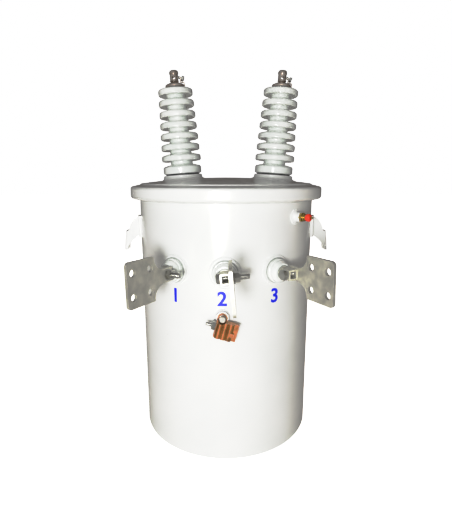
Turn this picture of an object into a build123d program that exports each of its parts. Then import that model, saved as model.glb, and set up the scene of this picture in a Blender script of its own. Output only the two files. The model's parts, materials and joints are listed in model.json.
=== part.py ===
from build123d import *
import os
from math import asin, cos, degrees, radians, sin, sqrt

# Single-phase pole mounted distribution transformer.
# Frame: +Z up, origin at the centre of the tank's underside, -Y is the terminal side, +Y the pole side.
# All sizes are millimetres.

# Tank, its rolled rim and its bottom pan
tank_radius = 207.0
wall_thickness = 3.0
rim_level = 578.0
rim_width = 14.0
rim_thickness = 4.0
lip_thickness = 3.0
lip_height = 4.65
bottom_thickness = 4.0
bottom_flange_height = 22.0
bottom_bend_radius = 6.0
weld_clearance = 0.2

# Lid, its gasket and the clamp band
lid_gasket_thickness = 5.0
lid_thickness = 2.5
lid_step_inset = 2.5
lid_step_height = 17.0
lid_step_draft = 5.0
lid_step_fillet = 5.0
lid_dome_rise = 14.0
band_side_gap = 4.0
band_thickness = 3.0
band_leg_slope = 0.3
band_tip_gap = 1.5
band_corner_radius = 6.0
band_clearance = 0.3
band_gap = 26.0
band_ear_thickness = 6.0
band_ear_reach = 24.0
band_ear_height = 26.0
band_bolt_diameter = 10.0
band_bolt_flats = 17.0
band_bolt_tail = 22.0
band_nut_height = 8.0
band_head_height = 7.0

# High-voltage bushings: pressed seats on the lid, gaskets and porcelains
hv_spacing = 220.0
hv_offset_x = 5.0
hv_lean = 4.1
hv_seat_rise = 20.0
hv_seat_radius = 46.0
hv_seat_fillet = 3.0
hv_seat_depth = 16.0
hv_bore_radius = 27.0
hv_shank_clearance = 2.0
hv_shank_length = 45.0
hv_gasket_thickness = 3.0
hv_gasket_radius = 40.0
hv_collar_radius = 45.2
hv_collar_height = 17.0
hv_shed_count = 7
hv_shed_pitch = 24.8
hv_first_shed = 32.5
hv_shed_height = 13.0
hv_shed_slope = 0.275
hv_shed_radius_low = 46.5
hv_shed_radius_high = 40.0
hv_core_radius_low = 26.0
hv_core_radius_high = 21.0
hv_lower_edge_fillet = 3.5
hv_upper_edge_fillet = 5.0
hv_core_fillet = 2.5
hv_neck_radius = 14.5
hv_neck_height = 2.5
hv_top_gasket_thickness = 2.0

# High-voltage terminals: cast cap, eye stem, clamp bolt and its bent clip
hv_cap_radius = 22.0
hv_cap_height = 5.0
hv_cap_skirt = 5.5
hv_cap_wall = 2.2
hv_cap_crown = 5.0
hv_stem_radius = 9.5
hv_ridge_radius = 10.5
hv_foot_radius = 6.5
hv_stem_height = 27.0
hv_eye_radius = 4.0
hv_eye_height = 10.0
hv_bolt_radius = 3.0
hv_bolt_angle = 20.0
hv_bolt_level = 14.5
hv_bolt_root = 7.5
hv_bolt_reach = 18.0
hv_bolt_flats = 10.0
hv_bolt_head = 5.5
hv_clip_width = 7.0
hv_clip_thickness = 1.5

# Low-voltage bushings on the tank's front
lv_drop = 153.5
lv_azimuths = {"left": -31.0, "centre": -0.5, "right": 30.0}
lv_rolls = {"left": -1.3, "centre": -5.5, "right": -2.0}
lv_boss_radius = 31.0
lv_boss_height = 3.5
lv_bore_radius = 19.0
lv_shank_radius = 18.0
lv_gasket_thickness = 1.5
lv_gasket_radius = 27.0
lv_porcelain_radius = 25.5
lv_porcelain_height = 20.0
lv_porcelain_rim = 7.0
lv_porcelain_step = 2.5
lv_porcelain_crown = 6.0
lv_stud_radius = 8.0
lv_stud_clearance = 0.3
lv_inner_reach = 30.0
lv_washer_radius = 13.5
lv_washer_thickness = 3.0
lv_nut_flats = 27.0
lv_nut_height = 10.0

# Spade terminals: clamp hub, clamp bolt and four-hole pad
hub_left = -9.5
hub_right = 11.0
hub_height = 22.0
hub_length = 26.0
hub_wall = 4.0
hub_back = 5.0
hub_corner_radius = 3.0
clamp_bolt_radius = 6.0
clamp_head_flats = 19.0
clamp_head_height = 7.5
clamp_nut_height = 10.0
clamp_washer_radius = 12.5
clamp_washer_thickness = 2.5
clamp_thread_length = 31.0
bolt_clearance = 0.4
spade_thickness = 6.0
spade_hole_spacing = 44.45
spade_hole_radius = 7.15
spade_hole_offset = 94.3
spade_outer_margin = 14.25
spade_inner_margin = 11.5
spade_side_margin = 20.8
spade_neck_half_height = 14.0
spade_waist_radius = 28.0
spade_outer_corner_radius = 8.0
spade_inner_corner_radius = 2.0

# Lifting lugs
lug_plate = 6.0
lug_web_y = -35.0
lug_drop = 52.0
lug_reach = 34.4
lug_splay = 4.5
lug_shoulder_drop = 38.0
lug_shoulder_inset = 9.0
lug_arch_drop = 49.5
lug_tip_drop = 84.0
lug_outer_flange = 27.0
lug_inner_flange = 27.0
lug_bend_radius = 4.0

# Hanger brackets on the pole side
hanger_spacing = 285.75
hanger_drop = 108.0
hanger_width = 76.0
hanger_height = 84.0
hanger_standoff = 52.0
hanger_plate = 6.0
hanger_bend_radius = 8.0
hanger_slot_width = 17.5
hanger_slot_depth = 52.0
hanger_foot_chamfer = 10.0

# Pressure relief valve
valve_azimuth = 45.0
valve_drop = 46.0
valve_boss_radius = 10.0
valve_boss_foot = 14.5
valve_boss_flare = 5.0
valve_boss_height = 15.0
valve_hex_flats = 18.0
valve_hex_height = 5.0
valve_collar_radius = 8.0
valve_collar_height = 2.0
valve_neck_radius = 6.0
valve_neck_height = 7.0
valve_cap_radius = 8.0
valve_cap_height = 11.0
valve_cap_bevel = 2.5
valve_pin_radius = 2.0
valve_pin_height = 5.0

# Earthing pad, copper connector, its clamp bolt and fixing screw
earth_drop = 269.0
earth_roll = 15.0
earth_pad_radius = 13.0
earth_pad_height = 10.0
earth_pad_side = -13.0
earth_pad_rise = 21.0
earth_width = 46.0
earth_length = 36.0
earth_plate = 4.0
earth_body = 8.0
earth_tang_width = 20.0
earth_flute_radius = 6.5
earth_flute_pitch = 11.0
earth_flute_count = 3
earth_pin_radius = 4.4
earth_pin_side = 12.5
earth_pin_drop = 4.5
earth_bolt_radius = 4.0
earth_bolt_rise = 3.8
earth_bolt_tail = 20.5
earth_nut_flats = 16.0
earth_nut_height = 8.0
earth_screw_flats = 13.0
earth_screw_head = 6.0
earth_washer_radius = 8.0
earth_washer_thickness = 1.6


def outward(azimuth):
    """Unit vector pointing out of the wall at an angle from the front, positive to the viewer's right."""
    return Vector(sin(radians(azimuth)), -cos(radians(azimuth)), 0)


def wall_plane(azimuth, level, roll=0.0):
    """Plane on the wall's outside: z points outward, x to the viewer's right, y up, turned by roll."""
    out = outward(azimuth)
    side = Vector(cos(radians(azimuth)), sin(radians(azimuth)), 0)
    right = side * cos(radians(roll)) - Vector(0, 0, 1) * sin(radians(roll))
    place = out * tank_radius + Vector(0, 0, level)
    return Plane(origin=place, x_dir=right, z_dir=out)


def profile_plane(plane):
    """Plane for a revolved profile: its x is the radius and its y runs along the given plane's z."""
    return Plane(origin=plane.origin, x_dir=plane.x_dir, z_dir=plane.x_dir.cross(plane.z_dir))


def turn_axis(plane):
    return Axis(plane.origin, plane.z_dir)


def dome_angle(edge, radius):
    """Angle at the centre between a dome's crown and its edge."""
    return degrees(asin(edge / radius))


def across_flats(flats):
    """Corner radius of a hexagon with the given width across flats."""
    return flats / sqrt(3)


os.makedirs("parts", exist_ok=True)

# Levels and radii that several pieces share
rim_radius = tank_radius + rim_width
rim_underside = rim_level - rim_thickness
gasket_top = rim_level + lid_gasket_thickness
flange_top = gasket_top + lid_thickness
band_level = (rim_underside + flange_top) / 2
band_grip = (flange_top - rim_underside) / 2 + lip_height
step_level = gasket_top + lid_step_height
lv_level = rim_level - lv_drop

# Tank wall: rolled steel shell with a flat boss round each low-voltage bushing
with BuildPart() as tank_wall:
    with BuildSketch():
        Circle(tank_radius)
        Circle(tank_radius - wall_thickness, mode=Mode.SUBTRACT)
    extrude(amount=rim_underside)
    for azimuth in lv_azimuths.values():
        with BuildSketch(wall_plane(azimuth, lv_level).offset(-wall_thickness)):
            Circle(lv_boss_radius)
        extrude(amount=wall_thickness + lv_boss_height)
        with BuildSketch(wall_plane(azimuth, lv_level).offset(lv_boss_height)):
            Circle(lv_bore_radius)
        extrude(amount=-lv_inner_reach, mode=Mode.SUBTRACT)
tank_wall.part.label = "tank_wall"
export_step(tank_wall.part, "parts/tank_wall.step")

# Tank rim: flat ring on the wall's upper edge, its outer edge turned down for the clamp band
with BuildPart() as tank_rim:
    with BuildSketch(Plane.XZ):
        with BuildLine():
            Polyline(
                (tank_radius - wall_thickness, rim_underside),
                (rim_radius - lip_thickness, rim_underside),
                (rim_radius - lip_thickness, band_level - band_grip),
                (rim_radius, band_level - band_grip),
                (rim_radius, rim_level),
                (tank_radius - wall_thickness, rim_level),
                close=True,
            )
        make_face()
    revolve(axis=Axis.Z)
tank_rim.part.label = "tank_rim"
export_step(tank_rim.part, "parts/tank_rim.step")

# Bottom: flat pan with a turned-up flange, welded inside the wall's lower edge
pan_radius = tank_radius - wall_thickness - weld_clearance
pan_inside = pan_radius - bottom_thickness
with BuildPart() as tank_bottom:
    with BuildSketch(Plane.XZ):
        with BuildLine():
            FilletPolyline(
                (0, 0),
                (pan_radius, 0),
                (pan_radius, bottom_flange_height),
                (pan_inside, bottom_flange_height),
                (pan_inside, bottom_thickness),
                (0, bottom_thickness),
                radius=(bottom_bend_radius + bottom_thickness, 0, 0, bottom_bend_radius),
            )
            Line((0, bottom_thickness), (0, 0))
        make_face()
    revolve(axis=Axis.Z)
tank_bottom.part.label = "tank_bottom"
export_step(tank_bottom.part, "parts/tank_bottom.step")

# Lid gasket: flat ring between the rim and the lid
with BuildPart() as lid_gasket:
    with BuildSketch(Plane.XY.offset(rim_level)):
        Circle(rim_radius)
        Circle(tank_radius - wall_thickness, mode=Mode.SUBTRACT)
    extrude(amount=lid_gasket_thickness)
lid_gasket.part.label = "lid_gasket"
export_step(lid_gasket.part, "parts/lid_gasket.step")


def hv_plane(side):
    """Seat plane of a high-voltage bushing: side is -1 on the viewer's left and +1 on the right."""
    lean = radians(hv_lean) * side
    place = Vector(hv_offset_x + side * hv_spacing / 2, 0, step_level + hv_seat_rise)
    return Plane(origin=place, x_dir=(cos(lean), 0, -sin(lean)), z_dir=(sin(lean), 0, cos(lean)))


hv_sides = {"left": -1, "right": 1}

# Lid: pan pressed from steel sheet, with a turned-down edge, a step, a shallow dome and two raised seats
lid_step_radius = tank_radius - lid_step_inset
dome_radius = (lid_step_radius**2 + lid_dome_rise**2) / (2 * lid_dome_rise)
dome_centre = step_level + lid_dome_rise - dome_radius
under_radius = dome_radius - lid_thickness
under_edge = lid_step_radius - lid_thickness
with BuildPart() as lid:
    with BuildSketch(Plane.XZ) as lid_section:
        with BuildLine():
            top_arc = CenterArc((0, dome_centre), dome_radius, 90, -dome_angle(lid_step_radius, dome_radius))
            under_arc = CenterArc((0, dome_centre), under_radius, 90, -dome_angle(under_edge, under_radius))
            Line(top_arc @ 0, under_arc @ 0)
            Polyline(
                top_arc @ 1,
                (lid_step_radius + lid_step_draft, flange_top),
                (rim_radius - lip_thickness, flange_top),
                (rim_radius - lip_thickness, band_level + band_grip),
                (rim_radius, band_level + band_grip),
                (rim_radius, gasket_top),
                (under_edge + lid_step_draft, gasket_top),
                under_arc @ 1,
            )
        make_face()
        step_corner = lid_section.vertices().sort_by_distance((lid_step_radius, step_level))[0]
        fillet(step_corner, lid_step_fillet)
        inner_corner = lid_section.vertices().sort_by_distance((under_edge, step_level - lid_thickness))[0]
        fillet(inner_corner, lid_step_fillet / 2)
    revolve(axis=Axis.Z)
    for side in hv_sides.values():
        with BuildSketch(hv_plane(side)):
            Circle(hv_seat_radius)
        extrude(amount=-hv_seat_depth)
        with BuildSketch(hv_plane(side)):
            Circle(hv_bore_radius)
        extrude(amount=-2 * hv_seat_depth, mode=Mode.SUBTRACT)
        seat_top = lid.faces().sort_by_distance(hv_plane(side).origin)[0]
        fillet(seat_top.edges().sort_by(SortBy.LENGTH)[-1], hv_seat_fillet)
lid.part.label = "lid"
export_step(lid.part, "parts/lid.step")

# Clamp band: split ring of C section whose sloped legs draw the lid down on the rim
band_inner_radius = rim_radius + band_side_gap
band_outer_radius = band_inner_radius + band_thickness
band_tip_radius = tank_radius + band_tip_gap
band_knee = band_grip + band_clearance - band_leg_slope * band_side_gap
band_tip = band_grip + band_clearance + band_leg_slope * (rim_radius - band_tip_radius)
ear_outside = band_gap / 2 + band_ear_thickness
ear_middle = band_outer_radius + band_ear_reach / 2
with BuildPart() as clamp_band:
    with BuildSketch(Plane.XZ):
        with BuildLine():
            Polyline(
                (band_tip_radius, band_level + band_tip),
                (band_inner_radius, band_level + band_knee),
                (band_inner_radius, band_level - band_knee),
                (band_tip_radius, band_level - band_tip),
                (band_tip_radius, band_level - band_tip - band_thickness),
                (band_outer_radius, band_level - band_knee - band_thickness),
                (band_outer_radius, band_level + band_knee + band_thickness),
                (band_tip_radius, band_level + band_tip + band_thickness),
                close=True,
            )
        section = make_face()
        fillet(section.vertices().group_by(Axis.X)[-1], band_corner_radius)
    revolve(axis=Axis.Z)
    with BuildSketch(Plane.XY.offset(band_level)):
        with Locations((0, ear_middle)):
            Rectangle(band_gap, 4 * band_ear_reach)
    extrude(amount=2 * band_tip, both=True, mode=Mode.SUBTRACT)
    with BuildSketch(Plane.XY.offset(band_level - band_ear_height / 2)):
        for side in (-1, 1):
            with Locations((side * (band_gap + band_ear_thickness) / 2, ear_middle - band_thickness)):
                Rectangle(band_ear_thickness, band_ear_reach)
    extrude(amount=band_ear_height)
    with Locations(Location((0, ear_middle, band_level), (0, 90, 0))):
        Cylinder(band_bolt_diameter / 2 + bolt_clearance, 2 * ear_outside + band_gap, mode=Mode.SUBTRACT)
clamp_band.part.label = "clamp_band"
export_step(clamp_band.part, "parts/clamp_band.step")

# Closure bolt: hexagon bolt and nut across the band's ears
closure = Plane(origin=(0, ear_middle, band_level), z_dir=(1, 0, 0))
with BuildPart() as clamp_band_bolt:
    with BuildSketch(closure.offset(-ear_outside)):
        Circle(band_bolt_diameter / 2)
    extrude(amount=2 * ear_outside + band_bolt_tail)
    with BuildSketch(closure.offset(ear_outside)):
        RegularPolygon(across_flats(band_bolt_flats), 6)
    extrude(amount=band_nut_height)
    with BuildSketch(closure.offset(-ear_outside)):
        RegularPolygon(across_flats(band_bolt_flats), 6)
    extrude(amount=-band_head_height)
clamp_band_bolt.part.label = "clamp_band_bolt"
export_step(clamp_band_bolt.part, "parts/clamp_band_bolt.step")


def shed_radius(index):
    """Rim radius of one shed: the sheds get a little smaller towards the top."""
    return hv_shed_radius_low + (hv_shed_radius_high - hv_shed_radius_low) * index / (hv_shed_count - 1)


def core_radius(index):
    """Core radius under one shed: the core tapers with the sheds."""
    return hv_core_radius_low + (hv_core_radius_high - hv_core_radius_low) * index / hv_shed_count


# Heights above a high-voltage seat, up the stack of gasket, porcelain, gasket and cap
last_rim = hv_first_shed + (hv_shed_count - 1) * hv_shed_pitch + hv_shed_height
neck_foot = last_rim + hv_shed_slope * (hv_shed_radius_high - hv_neck_radius)
neck_top = neck_foot + hv_neck_height
cap_seat = neck_top + hv_top_gasket_thickness
cap_top = cap_seat + hv_cap_crown

# High-voltage gaskets: a ring under each porcelain and one under each cap
with BuildPart() as hv_gaskets:
    for side in hv_sides.values():
        with BuildSketch(hv_plane(side)):
            Circle(hv_gasket_radius)
            Circle(hv_bore_radius, mode=Mode.SUBTRACT)
        extrude(amount=hv_gasket_thickness)
        with BuildSketch(hv_plane(side).offset(neck_top)):
            Circle(hv_neck_radius)
            Circle(hv_foot_radius, mode=Mode.SUBTRACT)
        extrude(amount=hv_top_gasket_thickness)
hv_gaskets.part.label = "hv_gaskets"
export_step(hv_gaskets.part, "parts/hv_gaskets.step")

# Turned outline of a high-voltage porcelain: corners with their radii, from the shank inside the lid
# past the collar and the sheds to the neck under the cap
shank_radius = hv_bore_radius - hv_shank_clearance
collar_corner = hv_gasket_thickness + hv_collar_height
collar_top = collar_corner + hv_shed_slope * (hv_collar_radius - core_radius(0))
porcelain_corners = [
    ((shank_radius, -hv_shank_length), 0),
    ((shank_radius, hv_gasket_thickness), 0),
    ((hv_collar_radius, hv_gasket_thickness), hv_lower_edge_fillet),
    ((hv_collar_radius, collar_corner), hv_upper_edge_fillet),
    ((core_radius(0), collar_top), hv_core_fillet),
]
for index in range(hv_shed_count):
    under = hv_first_shed + index * hv_shed_pitch
    edge = shed_radius(index)
    porcelain_corners.append(((core_radius(index), under + 1), hv_core_fillet))
    porcelain_corners.append(((edge, under), hv_lower_edge_fillet))
    porcelain_corners.append(((edge, under + hv_shed_height), hv_upper_edge_fillet))
    if index < hv_shed_count - 1:
        shed_top = under + hv_shed_height + hv_shed_slope * (edge - core_radius(index + 1))
        porcelain_corners.append(((core_radius(index + 1), shed_top), hv_core_fillet))
porcelain_corners.append(((hv_neck_radius, neck_foot), hv_neck_height / 2))
porcelain_corners.append(((hv_neck_radius, neck_top), 0))

for name, side in hv_sides.items():
    seat = hv_plane(side)

    # High-voltage porcelain: base collar, tapered core and seven rounded sheds in one turned piece
    with BuildPart() as hv_bushing:
        with BuildSketch(profile_plane(seat)):
            with BuildLine():
                FilletPolyline(
                    (0, -hv_shank_length),
                    *[corner for corner, rounding in porcelain_corners],
                    (0, neck_top),
                    radius=[rounding for corner, rounding in porcelain_corners],
                )
                Line((0, neck_top), (0, -hv_shank_length))
            make_face()
        revolve(axis=turn_axis(seat))
    hv_bushing.part.label = f"hv_bushing_{name}"
    export_step(hv_bushing.part, f"parts/hv_bushing_{name}.step")

    # Cap: cast cup that holds the porcelain down, its skirt hanging clear of the top shed
    skirt_top = cap_seat - hv_cap_skirt + hv_cap_height
    with BuildPart() as hv_cap:
        with BuildSketch(profile_plane(seat)):
            with BuildLine():
                FilletPolyline(
                    (hv_foot_radius + bolt_clearance, cap_seat),
                    (hv_cap_radius - hv_cap_wall - 1, cap_seat),
                    (hv_cap_radius - hv_cap_wall, cap_seat - hv_cap_skirt),
                    (hv_cap_radius, cap_seat - hv_cap_skirt),
                    (hv_cap_radius, skirt_top),
                    (hv_stem_radius, cap_top),
                    (hv_foot_radius + bolt_clearance, cap_top),
                    radius=(hv_cap_wall / 2, 0, 0, 2, 0),
                )
                Line((hv_foot_radius + bolt_clearance, cap_top), (hv_foot_radius + bolt_clearance, cap_seat))
            make_face()
        revolve(axis=turn_axis(seat))
    hv_cap.part.label = f"hv_cap_{name}"
    export_step(hv_cap.part, f"parts/hv_cap_{name}.step")

    # Terminal: eye stem with two ridges, screwed down through the cap
    stem_top = cap_top + hv_stem_height
    ridges = (cap_top + hv_eye_height - hv_eye_radius - 3, cap_top + hv_stem_height - 7)
    with BuildPart() as hv_terminal:
        with BuildSketch(profile_plane(seat)):
            with BuildLine():
                FilletPolyline(
                    (0, neck_top),
                    (hv_foot_radius, neck_top),
                    (hv_foot_radius, cap_top + 1),
                    (hv_ridge_radius, ridges[0]),
                    (hv_stem_radius, ridges[0] + 2),
                    (hv_stem_radius, ridges[1] - 2.5),
                    (hv_ridge_radius, ridges[1]),
                    (hv_stem_radius, stem_top),
                    (0, stem_top),
                    radius=(0, 0, 0.5, 0.5, 1, 1, hv_stem_radius / 2),
                )
                Line((0, stem_top), (0, neck_top))
            make_face()
        revolve(axis=turn_axis(seat))
        eye_place = seat.origin + seat.z_dir * (cap_top + hv_eye_height)
        with BuildSketch(Plane(origin=eye_place, z_dir=(0, 1, 0)).offset(-2 * hv_stem_radius)):
            Circle(hv_eye_radius)
        extrude(amount=4 * hv_stem_radius, mode=Mode.SUBTRACT)
        bolt_lean = radians(hv_bolt_angle)
        bolt_way = seat.x_dir * cos(bolt_lean) - seat.z_dir * sin(bolt_lean)
        bolt_place = seat.origin + seat.z_dir * (cap_top + hv_bolt_level)
        bolt_plane = Plane(origin=bolt_place, x_dir=(0, 1, 0), z_dir=bolt_way)
        with BuildSketch(bolt_plane.offset(hv_bolt_root)):
            Circle(hv_bolt_radius)
        extrude(amount=hv_bolt_reach, mode=Mode.SUBTRACT)
    hv_terminal.part.label = f"hv_terminal_{name}"
    export_step(hv_terminal.part, f"parts/hv_terminal_{name}.step")

    # Clamp bolt: screwed slantwise into the stem, with a hexagon head
    with BuildPart() as hv_clamp_bolt:
        with BuildSketch(bolt_plane.offset(hv_bolt_root)):
            Circle(hv_bolt_radius)
        extrude(amount=hv_bolt_reach - hv_bolt_root)
        with BuildSketch(bolt_plane.offset(hv_bolt_reach)):
            RegularPolygon(across_flats(hv_bolt_flats), 6)
        extrude(amount=hv_bolt_head)
    hv_clamp_bolt.part.label = f"hv_clamp_bolt_{name}"
    export_step(hv_clamp_bolt.part, f"parts/hv_clamp_bolt_{name}.step")

    # Clip: strap hung on the clamp bolt and bent down over the cap's edge
    clip_rest = cap_top - (cap_top - skirt_top) * 0.35 + band_clearance
    clip_outside = hv_cap_radius + band_clearance
    hang = hv_bolt_reach - 2.5
    hang_level = cap_top + hv_bolt_level - hang * sin(bolt_lean)
    with BuildPart() as hv_clip:
        with BuildSketch(profile_plane(seat).offset(-hv_clip_width / 2)):
            with BuildLine():
                clip_line = FilletPolyline(
                    (hang * cos(bolt_lean), hang_level + hv_bolt_radius),
                    (hang * cos(bolt_lean) - 1.5, clip_rest + hv_clip_thickness),
                    (clip_outside, clip_rest),
                    (clip_outside, cap_seat - hv_cap_skirt),
                    radius=hv_clip_thickness,
                )
                offset(clip_line, amount=hv_clip_thickness, side=Side.LEFT)
            make_face()
        extrude(amount=hv_clip_width)
        with BuildSketch(bolt_plane):
            Circle(hv_bolt_radius + bolt_clearance)
        extrude(amount=hv_bolt_reach, mode=Mode.SUBTRACT)
    hv_clip.part.label = f"hv_clip_{name}"
    export_step(hv_clip.part, f"parts/hv_clip_{name}.step")

# Low-voltage gaskets: a ring under each porcelain and one under each stud's washer
lv_foot_level = lv_boss_height + lv_gasket_thickness
lv_front_level = lv_foot_level + lv_porcelain_height
with BuildPart() as lv_gaskets:
    for azimuth in lv_azimuths.values():
        with BuildSketch(wall_plane(azimuth, lv_level).offset(lv_boss_height)):
            Circle(lv_gasket_radius)
            Circle(lv_bore_radius, mode=Mode.SUBTRACT)
        extrude(amount=lv_gasket_thickness)
        with BuildSketch(wall_plane(azimuth, lv_level).offset(lv_front_level)):
            Circle(lv_washer_radius + 1)
            Circle(lv_stud_radius + lv_stud_clearance, mode=Mode.SUBTRACT)
        extrude(amount=lv_gasket_thickness)
lv_gaskets.part.label = "lv_gaskets"
export_step(lv_gaskets.part, "parts/lv_gaskets.step")

stud_hole = lv_stud_radius + lv_stud_clearance
hub_start = lv_front_level + lv_gasket_thickness + lv_washer_thickness
bolt_level = hub_start + hub_length / 2
hub_middle = (hub_left + hub_right) / 2
hub_width = hub_right - hub_left
spade_right = hub_right + spade_thickness
spade_hole_centre = spade_hole_offset + spade_hole_spacing / 2
pad_start = spade_hole_offset - spade_inner_margin
pad_end = spade_hole_offset + spade_hole_spacing + spade_outer_margin
pad_half_height = spade_hole_spacing / 2 + spade_side_margin
waist_radius = min(spade_waist_radius, pad_half_height - spade_neck_half_height - spade_inner_corner_radius)

for name, azimuth in lv_azimuths.items():
    base = wall_plane(azimuth, lv_level, lv_rolls[name])
    flat = Plane(origin=base.origin, x_dir=base.z_dir, z_dir=base.x_dir)
    across = Plane(origin=base.origin + base.z_dir * bolt_level, x_dir=base.z_dir, z_dir=base.x_dir)

    # Low-voltage porcelain: stepped button outside the wall and a shank through it
    with BuildPart() as lv_bushing:
        with BuildSketch(profile_plane(base)):
            with BuildLine():
                FilletPolyline(
                    (stud_hole, lv_front_level),
                    (stud_hole, -lv_inner_reach),
                    (lv_shank_radius, -lv_inner_reach),
                    (lv_shank_radius, lv_foot_level),
                    (lv_porcelain_radius, lv_foot_level),
                    (lv_porcelain_radius, lv_foot_level + lv_porcelain_rim),
                    (lv_porcelain_radius - lv_porcelain_step, lv_foot_level + lv_porcelain_rim),
                    (lv_porcelain_radius - lv_porcelain_step, lv_front_level - lv_porcelain_crown),
                    (lv_porcelain_radius - 3 * lv_porcelain_step, lv_front_level),
                    radius=(0, 0, 0, 0, 1, 1.3, 1, 3, 3),
                    close=True,
                )
            make_face()
        revolve(axis=turn_axis(base))
    lv_bushing.part.label = f"lv_bushing_{name}"
    export_step(lv_bushing.part, f"parts/lv_bushing_{name}.step")

    # Stud with its washer outside and its nut inside
    with BuildPart() as lv_stud:
        with BuildSketch(base.offset(-lv_inner_reach - lv_nut_height)):
            Circle(lv_stud_radius)
        extrude(amount=lv_inner_reach + lv_nut_height + hub_start + hub_back)
        with BuildSketch(base.offset(-lv_inner_reach)):
            RegularPolygon(across_flats(lv_nut_flats), 6)
        extrude(amount=-lv_nut_height)
        with BuildSketch(base.offset(lv_front_level + lv_gasket_thickness)):
            Circle(lv_washer_radius)
        extrude(amount=lv_washer_thickness)
    lv_stud.part.label = f"lv_stud_{name}"
    export_step(lv_stud.part, f"parts/lv_stud_{name}.step")

    # Clamp hub: open-fronted block on the stud, drilled across for the clamp bolt
    with BuildPart() as lv_hub:
        with BuildSketch(base.offset(hub_start)):
            with Locations((hub_middle, 0)):
                RectangleRounded(hub_width, hub_height, hub_corner_radius)
        extrude(amount=hub_length)
        with BuildSketch(base.offset(hub_start + hub_length)):
            with Locations((hub_middle, 0)):
                Rectangle(hub_width - 2 * hub_wall, hub_height - 2 * hub_wall)
        extrude(amount=-(hub_length - hub_back), mode=Mode.SUBTRACT)
        with BuildSketch(base.offset(hub_start)):
            Circle(stud_hole)
        extrude(amount=hub_back, mode=Mode.SUBTRACT)
        with BuildSketch(across.offset(hub_left - 1)):
            Circle(clamp_bolt_radius + bolt_clearance)
        extrude(amount=hub_width + 2, mode=Mode.SUBTRACT)
    lv_hub.part.label = f"lv_hub_{name}"
    export_step(lv_hub.part, f"parts/lv_hub_{name}.step")

    # Spade: plate blanked with a waisted neck and a pad with four standard holes
    with BuildPart() as lv_spade:
        with BuildSketch(flat.offset(hub_right)) as blank:
            with Locations(((hub_start + pad_end) / 2, 0)):
                Rectangle(pad_end - hub_start, 2 * spade_neck_half_height)
            with Locations(((pad_start + pad_end) / 2, 0)):
                Rectangle(pad_end - pad_start, 2 * pad_half_height)
            fillet(blank.vertices().group_by(Axis.X)[-1], spade_outer_corner_radius)
            for side in (-1, 1):
                waist = (pad_start, side * spade_neck_half_height)
                fillet(blank.vertices().sort_by_distance(waist)[0], waist_radius)
                shoulder = (pad_start, side * pad_half_height)
                fillet(blank.vertices().sort_by_distance(shoulder)[0], spade_inner_corner_radius / 2)
        extrude(amount=spade_thickness)
        with BuildSketch(flat.offset(hub_right)):
            with Locations((spade_hole_centre, 0)):
                with GridLocations(spade_hole_spacing, spade_hole_spacing, 2, 2):
                    Circle(spade_hole_radius)
            with Locations((bolt_level, 0)):
                Circle(clamp_bolt_radius + bolt_clearance)
        extrude(amount=spade_thickness, mode=Mode.SUBTRACT)
    lv_spade.part.label = f"lv_spade_{name}"
    export_step(lv_spade.part, f"parts/lv_spade_{name}.step")

    # Clamp bolt: hexagon head against the hub, washer and nut against the spade
    with BuildPart() as lv_clamp_bolt:
        with BuildSketch(across.offset(hub_left)):
            Circle(clamp_bolt_radius)
        extrude(amount=spade_right - hub_left + clamp_thread_length)
        with BuildSketch(across.offset(hub_left)):
            RegularPolygon(across_flats(clamp_head_flats), 6)
        extrude(amount=-clamp_head_height)
        with BuildSketch(across.offset(spade_right)):
            Circle(clamp_washer_radius)
        extrude(amount=clamp_washer_thickness)
        with BuildSketch(across.offset(spade_right + clamp_washer_thickness)):
            RegularPolygon(across_flats(clamp_head_flats), 6)
        extrude(amount=clamp_nut_height)
    lv_clamp_bolt.part.label = f"lv_clamp_bolt_{name}"
    export_step(lv_clamp_bolt.part, f"parts/lv_clamp_bolt_{name}.step")

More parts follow.
